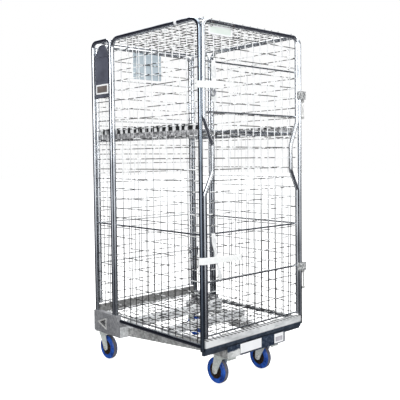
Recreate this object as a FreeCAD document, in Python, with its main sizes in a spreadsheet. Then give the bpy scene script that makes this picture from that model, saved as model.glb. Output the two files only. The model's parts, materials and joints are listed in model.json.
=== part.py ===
"""Nestable roll cage container: A-shaped chassis on four swivel casters, wire side
panels and short wings, front and rear gates, hinged roof, lifting shelf and deck.

Millimetres, +Z up, front towards -Y, origin on the floor under the middle."""
import FreeCAD, Part
import Sketcher
import math
import os

os.makedirs("parts", exist_ok=True)
doc = FreeCAD.newDocument("RollCage")
sheet = doc.addObject("Spreadsheet::Sheet", "Sheet")
V = FreeCAD.Vector
UP = V(0, 0, 1)

SIZES = {
    # plan and heights of the post centres
    "frontPostX": 342.0,
    "frontPostY": 412.0,
    "middlePostX": 348.0,
    "middlePostY": 240.0,
    "rearPostX": 351.0,
    "rearPostY": 412.0,
    "topZ": 1680.0,
    "sillZ": 236.0,
    "frontPostFoot": 215.0,
    "bracketTop": 261.0,
    # stock
    "tubeRadius": 10.0,
    "rodRadius": 4.0,
    "edgeRodRadius": 5.0,
    "wire": 4.0,
    "pitch": 50.0,
    "wireSetback": 8.0,
    "cornerBend": 50.0,
    "gripBend": 30.0,
    # gates
    "gateFoot": 268.0,
    "gateTop": 1670.0,
    "stileInset": 21.5,
    "gripReach": 50.0,
    "gripTop": 1246.0,
    "gripUpper": 1128.0,
    "gripLower": 1005.0,
    "gripFoot": 908.0,
    "railTop": 1496.0,
    "railUpper": 1274.0,
    "railLower": 731.0,
    "railLow": 515.0,
    "gateRodInset": 7.0,
    "rearGateFoot": 296.0,
    # gate hinges
    "hingeX": 370.0,
    "pinRadius": 4.0,
    "barrelBore": 4.06,
    "barrelRadius": 8.0,
    "hingeHigh": 1264.0,
    "hingeLow": 391.0,
    "hingeRise": 138.0,
    "lugHeight": 12.0,
    "barrelHeight": 40.0,
    # roof, shelf, deck
    "roofHalfX": 317.0,
    "roofFront": 396.0,
    "roofRear": 378.0,
    "shelfZ": 1190.0,
    "shelfHalfX": 314.0,
    "shelfFront": 372.0,
    "shelfRear": 366.0,
    "deckZ": 250.0,
    "deckHalfX": 318.0,
    "deckFront": 384.0,
    "deckRear": 374.0,
    "hingeEye": 9.0,
    "eyeBore": 5.08,
    "eyeWidth": 24.0,
    "leftLedgeFootZ": 1158.0,
    "leftLedgeTopZ": 1225.0,
    "rightLedgeFootZ": 1180.0,
    "rightLedgeTopZ": 1228.0,
    "ledgeLength": 780.0,
    "ledgeThick": 3.0,
    # chassis
    "railFootZ": 155.0,
    "railHeight": 50.0,
    "railWidth": 40.0,
    "railNoseX": 178.0,
    "railRearX": 293.0,
    "noseHalf": 200.0,
    "noseRear": 293.0,
    "nosePlateFootZ": 152.0,
    "nosePlateTopZ": 206.0,
    "nosePlateThick": 4.0,
    "barFront": 424.0,
    "barRear": 396.0,
    "barFootZ": 190.0,
    "barChamferZ": 212.0,
    "barTopZ": 258.0,
    "barChamfer": 14.0,
    "kickHalf": 335.0,
    "kickFootZ": 246.0,
    "kickHeight": 42.0,
    "kickDepth": 14.0,
    "bracketOuter": 363.0,
    "bracketWidth": 70.0,
    "bracketRear": 428.0,
    "bracketFront": 187.0,
    "bracketFootZ": 153.0,
    "bracketWall": 4.0,
    "bossReach": 15.0,
    "bossRear": 372.0,
    "bossFront": 284.0,
    "bossHalf": 34.0,
    "bossZ": 212.0,
    "bossWall": 14.0,
    "bossBoltY": 302.0,
    "bossFloor": 5.0,
    "bossBoltRadius": 4.5,
    # casters
    "wheelRadius": 62.5,
    "treadWidth": 32.0,
    "hubRadius": 44.0,
    "axleRadius": 6.0,
    "axleBore": 6.06,
    "axleHead": 9.0,
    "forkGap": 40.0,
    "legThick": 4.0,
    "trail": 30.0,
    "frontCasterX": 150.0,
    "frontCasterY": 338.0,
    "rearCasterX": 313.0,
    "rearCasterY": 395.0,
    "headRadius": 27.0,
    "plateThick": 4.0,
    "kingBore": 6.06,
    "pedalTopZ": 141.5,
    "pedalRadius": 2.0,
    # straps, pocket and plates
    "strapThick": 3.0,
    "strapWidth": 30.0,
    "pocketThick": 8.0,
    "signThick": 2.0,
}

rows = 0


def size(alias, value):
    """Puts one number in the sheet under an alias and returns the name to bind to."""
    global rows
    rows += 1
    sheet.set("A%d" % rows, alias)
    sheet.set("B%d" % rows, repr(float(value)))
    sheet.setAlias("B%d" % rows, alias)
    return "Sheet." + alias


for key, number in SIZES.items():
    size(key, number)
doc.recompute()


def v(alias):
    return SIZES[alias]


def letters(i):
    """A word suffix for a counter, so that no alias can look like a cell."""
    return "abcdefghijklmnopqrstuvwxyz"[i // 26] + "abcdefghijklmnopqrstuvwxyz"[i % 26]


counter = 0


def own_size(value):
    """A sheet row for a length worked out from the sizes above."""
    global counter
    counter += 1
    return size("length" + letters(counter // 26) + letters(counter % 26).upper() + "x", value)


def turned(base, x_axis, z_axis):
    """A placement whose local X and Z point along the two given directions."""
    z = V(z_axis).normalize()
    x = V(x_axis)
    x = (x - z * x.dot(z)).normalize()
    y = z.cross(x)
    m = FreeCAD.Matrix(x.x, y.x, z.x, base.x, x.y, y.y, z.y, base.y, x.z, y.z, z.z, base.z, 0, 0, 0, 1)
    return FreeCAD.Placement(m)


def any_normal(d):
    return V(1, 0, 0) if abs(d.x) < 0.9 * d.Length else V(0, 1, 0)


def rod(a, b, radius):
    """A round bar from a to b."""
    a, b = V(*a), V(*b)
    bar = doc.addObject("Part::Cylinder", "Rod")
    bar.setExpression("Radius", "Sheet." + radius)
    bar.setExpression("Height", own_size((b - a).Length))
    bar.Placement = turned(a, any_normal(b - a), b - a)
    return bar


def box(low, high):
    """A block between two corners."""
    block = doc.addObject("Part::Box", "Block")
    for prop, lo, hi in zip(("Length", "Width", "Height"), low, high):
        block.setExpression(prop, own_size(hi - lo))
    block.Placement = FreeCAD.Placement(V(*low), FreeCAD.Rotation())
    return block


def bent(points, radius, bend):
    """A bar through the points, with a round bend at every inner one."""
    pts = [V(*p) for p in points]
    ring = v(bend)
    pieces = []
    start = pts[0]
    for before, corner, after in zip(pts, pts[1:], pts[2:]):
        d1 = (corner - before).normalize()
        d2 = (after - corner).normalize()
        angle = d1.getAngle(d2)
        back = ring * math.tan(angle / 2)
        enter = corner - d1 * back
        normal = d1.cross(d2).normalize()
        centre = enter + normal.cross(d1) * ring
        pieces.append(rod(start, enter, radius))
        curve = doc.addObject("Part::Torus", "Bend")
        curve.setExpression("Radius1", "Sheet." + bend)
        curve.setExpression("Radius2", "Sheet." + radius)
        curve.Angle3 = math.degrees(angle)
        curve.Placement = turned(centre, enter - centre, normal)
        pieces.append(curve)
        start = corner + d2 * back
    pieces.append(rod(start, pts[-1], radius))
    return pieces


nodes = []


def keep(item, label):
    """Marks a document object as one named sub-part of the container."""
    item.Label = label
    nodes.append(item)
    return item


def joined(label, pieces, placement=None):
    """Fuses the pieces into one named sub-part."""
    fused = doc.addObject("Part::MultiFuse", "Joined")
    fused.Shapes = pieces
    fused.Refine = False
    if placement:
        fused.Placement = placement
    return keep(fused, label)


def grouped(label, pieces):
    """Separate identical solids that share one named sub-part."""
    group = doc.addObject("Part::Compound", "Group")
    group.Links = pieces
    return keep(group, label)


def cut(base, tool):
    pocket = doc.addObject("Part::Cut", "Cut")
    pocket.Base = base
    pocket.Tool = tool
    return pocket


ROLES = {"XY": "XY_Plane", "XZ": "XZ_Plane", "YZ": "YZ_Plane"}


def sketch_on(body, plane):
    drawing = body.newObject("Sketcher::SketchObject", body.Name + "Sketch")
    origin = [f for f in body.Origin.OriginFeatures if f.Role == ROLES[plane]][0]
    drawing.AttachmentSupport = (origin, "")
    drawing.MapMode = "FlatFace"
    return drawing


def outline(drawing, points):
    """Draws a closed outline and ties every corner of it to the sheet."""
    n = len(points)
    for i in range(n):
        a, b = points[i], points[(i + 1) % n]
        drawing.addGeometry(Part.LineSegment(V(a[0], a[1], 0), V(b[0], b[1], 0)), False)
    for i in range(n):
        drawing.addConstraint(Sketcher.Constraint("Coincident", i, 2, (i + 1) % n, 1))
    for i, p in enumerate(points):
        for kind, value in (("DistanceX", p[0]), ("DistanceY", p[1])):
            if abs(value) < 1e-9:
                where = -2 if kind == "DistanceX" else -1
                drawing.addConstraint(Sketcher.Constraint("PointOnObject", i, 1, where))
                continue
            at = drawing.addConstraint(Sketcher.Constraint(kind, -1, 1, i, 1, value))
            drawing.setExpression("Constraints[%d]" % at, own_size(value))


def profile(points, thickness, plane="XZ", placement=None, both=False):
    """A flat outline padded to a thickness, as a body."""
    body = doc.addObject("PartDesign::Body", "Profile")
    drawing = sketch_on(body, plane)
    outline(drawing, points)
    pad = body.newObject("PartDesign::Pad", "Pad")
    pad.Profile = drawing
    pad.Midplane = both
    pad.setExpression("Length", thickness)
    if placement:
        body.Placement = placement
    return body


def spun(points, placement):
    """An outline turned round its own horizontal axis, as a body."""
    body = doc.addObject("PartDesign::Body", "Spun")
    drawing = sketch_on(body, "XZ")
    outline(drawing, points)
    turn = body.newObject("PartDesign::Revolution", "Turn")
    turn.Profile = drawing
    turn.ReferenceAxis = (drawing, ["H_Axis"])
    turn.Angle = 360.0
    body.Placement = placement
    return body


def lattice(label, xs, zs, width, height, placement):
    """A flat welded wire panel in its local XZ plane, wire ends cut at its outline."""
    half = v("wire") / 2
    (x0, x1), (z0, z1) = width, height
    edge = []
    for x in xs:
        edge += [(x - half, zs[0] - half), (x - half, z0), (x + half, z0), (x + half, zs[0] - half)]
    for z in zs:
        edge += [(xs[-1] + half, z - half), (x1, z - half), (x1, z + half), (xs[-1] + half, z + half)]
    for x in reversed(xs):
        edge += [(x + half, zs[-1] + half), (x + half, z1), (x - half, z1), (x - half, zs[-1] + half)]
    for z in reversed(zs):
        edge += [(xs[0] - half, z + half), (x0, z + half), (x0, z - half), (xs[0] - half, z - half)]
    clean = [p for i, p in enumerate(edge) if p != edge[i - 1]]
    rings = [clean]
    for xa, xb in zip(xs, xs[1:]):
        for za, zb in zip(zs, zs[1:]):
            lo, hi = (xa + half, za + half), (xb - half, zb - half)
            rings.append([lo, (lo[0], hi[1]), hi, (hi[0], lo[1])])
    wires = [Part.makePolygon([V(x, 0, z) for x, z in ring + ring[:1]]) for ring in rings]
    face = Part.Face(wires)
    panel = doc.addObject("Part::Feature", "Lattice")
    panel.Shape = face.extrude(V(0, v("wire"), 0))
    panel.Placement = placement
    return keep(panel, label)


def steps(first, last, pitch):
    count = int((last - first) / pitch + 1e-6)
    return [first + pitch * i for i in range(count + 1)]


def upright(start, end):
    """Local X from one plan point to another, local Z up."""
    a, b = V(start[0], start[1], 0), V(end[0], end[1], 0)
    return turned(a, b - a, UP)


# ---------------------------------------------------------------- side panels and wings
TUBE = v("tubeRadius")
WIRE = v("wire")
SIDES = (("left", -1), ("right", 1))


def inward(side, depth, thickness):
    """Start of a layer lying inside a side panel, measured on its local Y."""
    return depth if side > 0 else -depth - thickness


def shifted(placement, y):
    return placement.multiply(FreeCAD.Placement(V(0, y, 0), FreeCAD.Rotation()))


for name, side in SIDES:
    front = (side * v("frontPostX"), -v("frontPostY"))
    middle = (side * v("middlePostX"), v("middlePostY"))
    rear = (side * v("rearPostX"), v("rearPostY"))
    length = math.dist(front, middle)
    top, foot = v("topZ"), v("bracketTop")
    panel = upright(front, middle)
    loop = [(0, 0, v("frontPostFoot")), (0, 0, top), (length, 0, top), (length, 0, foot)]
    sill_end = length - (v("middlePostY") - 200.0)
    pieces = bent(loop, "tubeRadius", "cornerBend")
    pieces.append(rod((0, 0, v("sillZ")), (sill_end, 0, v("sillZ")), "tubeRadius"))
    rail_y = side * (TUBE - v("rodRadius") - 0.1)
    pieces.append(rod((0, rail_y, v("railLower")), (length, rail_y, v("railLower")), "rodRadius"))
    joined("side_frame_" + name, pieces, panel)
    lattice(
        "side_mesh_" + name,
        steps(50.0, length - 40.0, v("pitch")),
        steps(v("sillZ") + 32.0, top - 60.0, v("pitch")),
        (v("wireSetback"), length),
        (v("sillZ"), top),
        shifted(panel, inward(side, TUBE, WIRE)),
    )
    span = math.dist(middle, rear)
    wing = upright(middle, rear)
    inner = 2 * TUBE
    loop = [(inner, 0, foot), (inner, 0, top), (span, 0, top), (span, 0, foot)]
    pieces = bent(loop, "tubeRadius", "gripBend")
    pieces.append(rod((inner, rail_y, v("railLower")), (span, rail_y, v("railLower")), "rodRadius"))
    joined("wing_frame_" + name, pieces, wing)
    lattice(
        "wing_mesh_" + name,
        [inner + 50.0, inner + 100.0],
        steps(foot + 57.0, top - 60.0, v("pitch")),
        (inner, span - v("wireSetback")),
        (foot + 30.0, top),
        shifted(wing, inward(side, TUBE, WIRE)),
    )

# document pocket between the tubes of the left wing, resting on its wires
wing_left = upright((-v("middlePostX"), v("middlePostY")), (-v("rearPostX"), v("rearPostY")))
pocket_face = [(33, 1388), (160, 1388), (160, 1612), (112, 1662), (76, 1662), (33, 1606)]
pocket_base = shifted(wing_left, -TUBE + v("pocketThick"))
pocket = profile(pocket_face, "Sheet.pocketThick", "XZ", pocket_base)
keep(pocket, "document_pocket")
window_face = [(42, 1408), (151, 1408), (151, 1458), (42, 1458)]
window = profile(window_face, "Sheet.signThick", "XZ", shifted(pocket_base, v("signThick")))
keep(window, "pocket_window")

# ---------------------------------------------------------------- chassis
beam_rear = -v("noseRear")
half_rail = v("railWidth") / 2
rails = []
for name, side in SIDES:
    nose_x, rear_x, rear_y = side * v("railNoseX"), side * v("railRearX"), v("bracketFront")
    splayed = [
        (nose_x - half_rail, beam_rear), (nose_x + half_rail, beam_rear),
        (rear_x + half_rail, rear_y), (rear_x - half_rail, rear_y),
    ]
    rail_foot = FreeCAD.Placement(V(0, 0, v("railFootZ")), FreeCAD.Rotation())
    rails.append(profile(splayed, "Sheet.railHeight", "XY", rail_foot))
grouped("chassis_rails", rails)

foot, nose = v("bracketFootZ"), v("noseHalf")
bar_foot, bar_top, bar_front, bar_rear = v("barFootZ"), v("barTopZ"), -v("barFront"), -v("barRear")
keep(box((-nose, bar_front, foot), (nose, beam_rear, bar_foot)), "nose_beam")
plate_face = bar_front - v("nosePlateThick")
keep(box((-nose, plate_face, v("nosePlateFootZ")), (nose, bar_front, v("nosePlateTopZ"))), "nose_plate")

section = [
    (bar_front, bar_top), (bar_front, v("barChamferZ")), (bar_front + v("barChamfer"), bar_foot),
    (bar_rear, bar_foot), (bar_rear, bar_top),
]
bar_place = FreeCAD.Placement(V(-v("frontPostX") + TUBE, 0, 0), FreeCAD.Rotation())
front_bar = profile(section, own_size(2 * (v("frontPostX") - TUBE)), "YZ", bar_place)
keep(front_bar, "front_bar")

deck_foot = v("deckZ") - v("edgeRodRadius") - 0.5
rail_top = v("railFootZ") + v("railHeight")
grouped(
    "cross_members",
    [
        box((-262.0, -95.0, rail_top), (262.0, -65.0, deck_foot)),
        box((-326.0, 150.0, rail_top), (326.0, 180.0, deck_foot)),
    ],
)
kick_half, half_kick = v("kickHalf"), v("kickDepth") / 2
kick_y, kick_low = v("rearPostY"), v("kickFootZ")
kick_top = kick_low + v("kickHeight")
keep(box((-kick_half, kick_y - half_kick, kick_low), (kick_half, kick_y + half_kick, kick_top)), "kick_rail")


def along_x(start):
    """A placement for a profile that is padded along X from a given start."""
    return FreeCAD.Placement(V(start, 0, 0), FreeCAD.Rotation())


def bolt_triangle(rear, front, half_height, middle):
    return [(rear, middle), (front, middle + half_height), (front, middle - half_height)]


SHOULDER_Z = 207.0
boss_z, boss_rear, boss_front, boss_half = v("bossZ"), v("bossRear"), v("bossFront"), v("bossHalf")
hollow_rear, hollow_front = boss_rear - v("bossWall") - 4.0, boss_front + v("bossWall") - 2.0
outer, box_inner, wall = v("bracketOuter"), v("bracketOuter") - v("bracketWidth"), v("bracketWall")
reach, boss_floor = v("bossReach"), v("bossFloor")
heads = []
for name, side in SIDES:
    y0, y1, top = v("bracketFront"), v("bracketRear"), v("bracketTop")
    low = [(y0, foot), (y1, foot), (y1, SHOULDER_Z), (y0, SHOULDER_Z)]
    high = [(y0, SHOULDER_Z - 1.0), (y1, SHOULDER_Z - 1.0), (y1, top), (226.0, top), (y0, SHOULDER_Z)]
    start = -outer if side < 0 else box_inner
    lower = profile(low, "Sheet.bracketWidth", "YZ", along_x(start))
    start = -outer if side < 0 else kick_half
    upper = profile(high, own_size(outer - kick_half), "YZ", along_x(start))
    start = -outer - reach if side < 0 else outer
    boss_face = bolt_triangle(boss_rear, boss_front, boss_half, boss_z)
    boss = profile(boss_face, "Sheet.bossReach", "YZ", along_x(start))
    start = -outer - reach if side < 0 else outer + boss_floor
    hollow_depth = own_size(reach - boss_floor)
    hollow_face = bolt_triangle(hollow_rear, hollow_front, boss_half - v("bossWall"), boss_z)
    hollow = profile(hollow_face, hollow_depth, "YZ", along_x(start))
    solid = doc.addObject("Part::MultiFuse", "Bracket")
    solid.Shapes = [lower, upper, boss]
    inner_low, inner_high = sorted((side * (outer - wall), side * (box_inner + wall)))
    mouth = box((inner_low, y0 + wall, foot - 1.0), (inner_high, 346.0, 203.0))
    keep(cut(cut(solid, hollow), mouth), "bracket_" + name)
    head_x, head_y = side * (outer + boss_floor), v("bossBoltY")
    for z in (boss_z - 9.0, boss_z + 9.0):
        heads.append(rod((head_x, head_y, z), (head_x + side * 7.0, head_y, z), "bossBoltRadius"))
grouped("bracket_bolts", heads)

# ---------------------------------------------------------------- casters
CASTERS = (
    ("front_left", -v("frontCasterX"), -v("frontCasterY"), 1),
    ("front_right", v("frontCasterX"), -v("frontCasterY"), 1),
    ("rear_left", -v("rearCasterX"), v("rearCasterY"), -1),
    ("rear_right", v("rearCasterX"), v("rearCasterY"), -1),
)
PLATE_FOOT = v("bracketFootZ") - v("plateThick")
PLATE_Y = {1: (-42.0, 42.0), -1: (-52.0, 33.0)}
plates, bolts = [], []
for name, x, y, way in CASTERS:
    near, far = PLATE_Y[way]
    plate = box((x - 45.0, y + near, PLATE_FOOT), (x + 45.0, y + far, PLATE_FOOT + v("plateThick")))
    king = rod((x, y, PLATE_FOOT - 15.0), (x, y, PLATE_FOOT + 1.0), "axleRadius")
    whole = doc.addObject("Part::MultiFuse", "Plate")
    whole.Shapes = [plate, king]
    plates.append(whole)
    for dx in (-36.0, 36.0):
        for dy in (near + 7.0, far - 7.0):
            bolts.append(rod((x + dx, y + dy, PLATE_FOOT - 6.0), (x + dx, y + dy, PLATE_FOOT), "axleRadius"))
grouped("caster_plates", plates)
grouped("caster_bolts", bolts)

WHEEL = v("wheelRadius")
LEG = [
    (-26.0, 134.0), (30.0, 134.0), (45.0, 72.0), (44.0, 54.0), (30.0, 46.0), (16.0, 52.0), (11.0, 68.0),
]
HALF_TREAD = v("treadWidth") / 2
for name, x, y, way in CASTERS:
    angle = 0.0 if way > 0 else 180.0
    here = FreeCAD.Placement(V(x, y, 0), FreeCAD.Rotation(UP, angle))
    gap, thick = v("forkGap") / 2, v("legThick")
    parts = [
        box((-gap - thick, -27.0, 130.0), (gap + thick, 34.0, 136.0)),
        rod((0, 0, 136.0), (0, 0, PLATE_FOOT - 0.5), "headRadius"),
    ]
    for leg_x in (-gap - thick, gap):
        leg_place = FreeCAD.Placement(V(leg_x, 0, 0), FreeCAD.Rotation())
        parts.append(profile(LEG, "Sheet.legThick", "YZ", leg_place))
    fork = doc.addObject("Part::MultiFuse", "Fork")
    fork.Shapes = parts
    bore = doc.addObject("Part::Cylinder", "Bore")
    bore.setExpression("Radius", "Sheet.kingBore")
    bore.setExpression("Height", own_size(40.0))
    bore.Placement = FreeCAD.Placement(V(0, 0, 120.0), FreeCAD.Rotation())
    trail = v("trail")
    hole = rod((-40.0, trail, WHEEL), (40.0, trail, WHEEL), "axleRadius")
    drilled = cut(cut(fork, bore), hole)
    drilled.Placement = here
    keep(drilled, "fork_" + name)
    axle = [
        rod((-gap - thick, trail, WHEEL), (gap + thick, trail, WHEEL), "axleRadius"),
        rod((-gap - thick - 5.0, trail, WHEEL), (-gap - thick, trail, WHEEL), "axleHead"),
        rod((gap + thick, trail, WHEEL), (gap + thick + 5.0, trail, WHEEL), "axleHead"),
    ]
    joined("axle_" + name, axle, here)
    centre = here.multVec(V(0, trail, WHEEL))
    place = FreeCAD.Placement(centre, FreeCAD.Rotation())
    r, hub = WHEEL, v("hubRadius")
    tyre = [
        (-HALF_TREAD, hub), (HALF_TREAD, hub), (HALF_TREAD, r - 9.0), (HALF_TREAD - 3.0, r - 3.0),
        (HALF_TREAD - 7.0, r - 0.5), (0.0, r), (7.0 - HALF_TREAD, r - 0.5), (3.0 - HALF_TREAD, r - 3.0),
        (-HALF_TREAD, r - 9.0),
    ]
    keep(spun(tyre, place), "tyre_" + name)
    bore_r = v("axleBore")
    core = [
        (-18.0, bore_r), (18.0, bore_r), (18.0, 15.0), (8.0, 19.0), (8.0, 36.0), (HALF_TREAD, hub),
        (-HALF_TREAD, hub), (-8.0, 36.0), (-8.0, 19.0), (-18.0, 15.0),
    ]
    keep(spun(core, place), "hub_" + name)

# brake levers of the front casters, each hinged on a barrel above the front of its fork
PEDAL_AXIS, PEDAL_TIP, LIP_REAR = 30.0, 68.0, 62.0
pedal_top, barrel = v("pedalTopZ"), v("pedalRadius")
for name, x, y, way in CASTERS[:2]:
    x0, x1 = x - v("forkGap") / 2 - v("legThick"), x + v("forkGap") / 2 + v("legThick")
    tread = box((x0, y - LIP_REAR - 2.0, pedal_top - 2 * barrel), (x1, y - PEDAL_AXIS, pedal_top))
    lip = box((x0, y - PEDAL_TIP, pedal_top - 9.0), (x1, y - LIP_REAR, pedal_top))
    hinge_y, hinge_z = y - PEDAL_AXIS, pedal_top - barrel
    hinge = rod((x0, hinge_y, hinge_z), (x1, hinge_y, hinge_z), "pedalRadius")
    joined("brake_pedal_" + name, [tread, lip, hinge])

# ---------------------------------------------------------------- gates
GRIP = v("gripReach")
HINGES = (v("hingeLow"), v("hingeHigh"))
BARREL_START = v("hingeRise") - v("barrelHeight")
LUG_STARTS = (0.0, BARREL_START - v("lugHeight") - 2.0)


def gate(prefix, half, y, inner, foot, gripped, wires):
    """One wire gate, closed, with its hinge arms; inner points into the container."""
    top = v("gateTop")
    rod_y = y + inner * (TUBE - v("rodRadius") - 0.1)
    rise = [(half, foot), (half, top)]
    if gripped:
        deep = half - GRIP
        rise[1:1] = [
            (half, v("gripFoot")), (deep, v("gripLower")), (deep, v("gripUpper")), (half, v("gripTop")),
        ]
    line = [(-x, y, z) for x, z in rise] + [(x, y, z) for x, z in reversed(rise)]
    pieces = bent(line, "tubeRadius", "gripBend")
    low_rod = foot + v("gateRodInset")
    for z in (low_rod, v("railLow"), v("railLower"), v("railUpper"), v("railTop")):
        pieces.append(rod((-half, rod_y, z), (half, rod_y, z), "rodRadius"))
    axis_x = v("hingeX")
    out = -inner
    for base in HINGES:
        z0 = base + BARREL_START
        z1 = z0 + v("barrelHeight")
        near, far = sorted((y + out * 10.6, y + out * 16.0))
        pieces.append(box((half - 9.0, near, z0), (axis_x + 4.0, far, z1)))
        near, far = sorted((y + out * 4.0, y + out * 11.0))
        pieces.append(box((half - 7.0, near, z0), (half + 4.0, far, z1)))
        near, far = sorted((y + out * 5.0, y + out * 11.0))
        pieces.append(box((axis_x - 4.0, near, z0), (axis_x + 4.0, far, z1)))
        pieces.append(rod((axis_x, y, z0), (axis_x, y, z1), "barrelRadius"))
    whole = doc.addObject("Part::MultiFuse", "Gate")
    whole.Shapes = pieces
    bore = rod((axis_x, y, HINGES[0]), (axis_x, y, HINGES[1] + v("hingeRise")), "barrelBore")
    keep(cut(whole, bore), prefix + "_frame")

    panel = FreeCAD.Placement(V(0, min(y + inner * TUBE, y + inner * (TUBE + WIRE)), 0), FreeCAD.Rotation())
    zs = steps(foot + v("pitch"), top - 42.0, v("pitch"))
    return lattice(prefix + "_mesh", wires, zs, (-half, half), (low_rod, top), panel)


def trimmed(panel, label, cutters):
    """A wire panel with its ends cut away around the hand grips."""
    nodes.remove(panel)
    panel.Label = label + "_blank"
    tools = doc.addObject("Part::Compound", "Trim")
    tools.Links = cutters
    return keep(cut(panel, tools), label)


front_half = v("frontPostX") - v("stileInset")
front_y = -v("frontPostY")
front_wires = [-293.0 + 51.0 * i for i in range(12)]
front_mesh = gate("front_gate", front_half, front_y, 1, v("gateFoot"), True, front_wires)
grips = []
for side in (-1, 1):
    lo, hi = sorted((side * (front_half - GRIP), side * (front_half + 5.0)))
    grips.append(box((lo, front_y + 5.0, 940.0), (hi, front_y + 20.0, 1200.0)))
trimmed(front_mesh, "front_gate_mesh", grips)

rear_half = v("rearPostX") - v("stileInset")
rear_y = v("rearPostY")
rear_wires = [-286.0 + 52.0 * i for i in range(12)]
gate("rear_gate", rear_half, rear_y, -1, v("rearGateFoot"), False, rear_wires)

for prefix, y, post in (("front", front_y, v("frontPostX")), ("rear", rear_y, v("rearPostX"))):
    sets = []
    for base in HINGES:
        pin = rod((v("hingeX"), y, base), (v("hingeX"), y, base + v("hingeRise")), "pinRadius")
        lugs = [
            box((post + TUBE, y - 4.0, base + up), (v("hingeX") + 6.0, y + 4.0, base + up + v("lugHeight")))
            for up in LUG_STARTS
        ]
        whole = doc.addObject("Part::MultiFuse", "Pin")
        whole.Shapes = [pin] + lugs
        sets.append(whole)
    grouped(prefix + "_hinge_pins", sets)

# webbing straps: a band round the left front post and a loose tail with its hook
STRAP = v("strapThick")
strap_face = front_y - TUBE
for label, z, reach, slant, tail_x, tail_top, tail_foot, tail_lean in (
    ("strap_upper", 1374.0, 142.0, 6.0, 76.0, 1488.0, 1286.0, 16.0),
    ("strap_lower", 601.0, 248.0, -8.0, 66.0, 724.0, 520.0, 34.0),
):
    x0 = -v("frontPostX") - TUBE - 1.0
    x1 = -v("frontPostX") + reach
    broad = v("strapWidth")
    band = [(x0 - STRAP, z), (x1, z + slant), (x1, z + slant + broad), (x0 - STRAP, z + broad)]
    face = FreeCAD.Placement(V(0, strap_face, 0), FreeCAD.Rotation())
    lip_x = (x0 - STRAP, x0)
    tail_x0 = -v("frontPostX") + tail_x
    tail = [
        (tail_x0, tail_top), (tail_x0 + tail_lean, tail_foot),
        (tail_x0 + tail_lean + 12.0, tail_foot), (tail_x0 + 14.0, tail_top),
    ]
    joined(
        label,
        [
            profile(band, "Sheet.strapThick", "XZ", face),
            box((lip_x[0], strap_face - STRAP, z), (lip_x[1], front_y + 4.0, z + broad)),
            profile(tail, "Sheet.strapThick", "XZ", face),
        ],
    )

sign_y = front_y + TUBE - v("signThick")
keep(box((-280.0, sign_y, 1617.0), (-128.0, sign_y + v("signThick"), 1659.0)), "gate_sign")
board_y = rear_y - TUBE
keep(box((-98.0, board_y, 1513.0), (101.0, board_y + v("signThick"), 1659.0)), "rear_gate_board")

# ---------------------------------------------------------------- roof, shelf and deck
EDGE = v("edgeRodRadius")


def tray(label, x, y, z, xs, ys, mesh_up=True):
    """A rectangular rod frame with wires on it, lying flat at height z."""
    (x0, x1), (y0, y1) = x, y
    corners = [(x0, y0, z), (x1, y0, z), (x1, y1, z), (x0, y1, z)]
    pieces = [rod(a, b, "edgeRodRadius") for a, b in zip(corners, corners[1:] + corners[:1])]
    for px, py, pz in corners:
        ball = doc.addObject("Part::Sphere", "Corner")
        ball.setExpression("Radius", "Sheet.edgeRodRadius")
        ball.Placement = FreeCAD.Placement(V(px, py, pz), FreeCAD.Rotation())
        pieces.append(ball)
    joined(label + "_frame", pieces)
    base = z + EDGE + WIRE if mesh_up else z - EDGE
    flat = turned(V(0, 0, base), V(1, 0, 0), V(0, 1, 0))
    lattice(label + "_mesh", xs, ys, x, y, flat)


def ring(x, y, z, along, width):
    """A hinge eye bored for a frame rod that runs along X or Y."""
    shift = along * (width / 2)
    a, b = V(x, y, z) - shift, V(x, y, z) + shift
    return (
        rod(tuple(a), tuple(b), "hingeEye"),
        rod(tuple(a - along), tuple(b + along), "eyeBore"),
    )


def eyes(label, centres, along, arms, extra=()):
    """Bored eyes on short arms that share one named sub-part."""
    made = []
    for centre, arm in zip(centres, arms):
        outer_eye, bore = ring(*centre, along, v("eyeWidth"))
        whole = doc.addObject("Part::MultiFuse", "Eye")
        whole.Shapes = [outer_eye, arm]
        made.append(cut(whole, bore))
    return grouped(label, made + list(extra))


def spread(half, skip):
    count = int((2 * half - 30.0) / skip) + 1
    return [-0.5 * skip * (count - 1) + skip * i for i in range(count)]


def post_x(y):
    """Centre of the side tubes at a given depth."""
    t = (y + v("frontPostY")) / (v("middlePostY") + v("frontPostY"))
    return v("frontPostX") + t * (v("middlePostX") - v("frontPostX"))


half_eye = v("eyeWidth") / 2
roof_x = v("roofHalfX")
roof_mid = (v("roofRear") - v("roofFront")) / 2
roof_ys = [roof_mid + y for y in spread((v("roofRear") + v("roofFront")) / 2, v("pitch"))]
roof_xs = spread(roof_x, v("pitch"))
roof_z = v("topZ")
tray("roof", (-roof_x, roof_x), (-v("roofFront"), v("roofRear")), roof_z, roof_xs, roof_ys)
centres, arms, rests = [], [], []
for row in (2, 10):
    y = (roof_ys[row] + roof_ys[row + 1]) / 2
    wall = -(post_x(y) - TUBE)
    centres.append((-roof_x, y, roof_z))
    arms.append(box((wall, y - half_eye, roof_z - 3.0), (-roof_x - EDGE - 1.0, y + half_eye, roof_z + 3.0)))
    rest_top = roof_z - EDGE - 0.6
    rests.append(box((roof_x - 8.0, y - 10.0, rest_top - 5.0), (post_x(y) - 8.6, y + 10.0, rest_top)))
eyes("roof_fittings", centres, V(0, 1, 0), arms, rests)

shelf_x, shelf_z = v("shelfHalfX"), v("shelfZ")
shelf_mid = (v("shelfRear") - v("shelfFront")) / 2
shelf_ys = [shelf_mid + y for y in spread((v("shelfRear") + v("shelfFront")) / 2, v("pitch"))]
shelf_xs = spread(shelf_x, v("pitch"))
tray("shelf", (-shelf_x, shelf_x), (-v("shelfFront"), v("shelfRear")), shelf_z, shelf_xs, shelf_ys)

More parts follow.
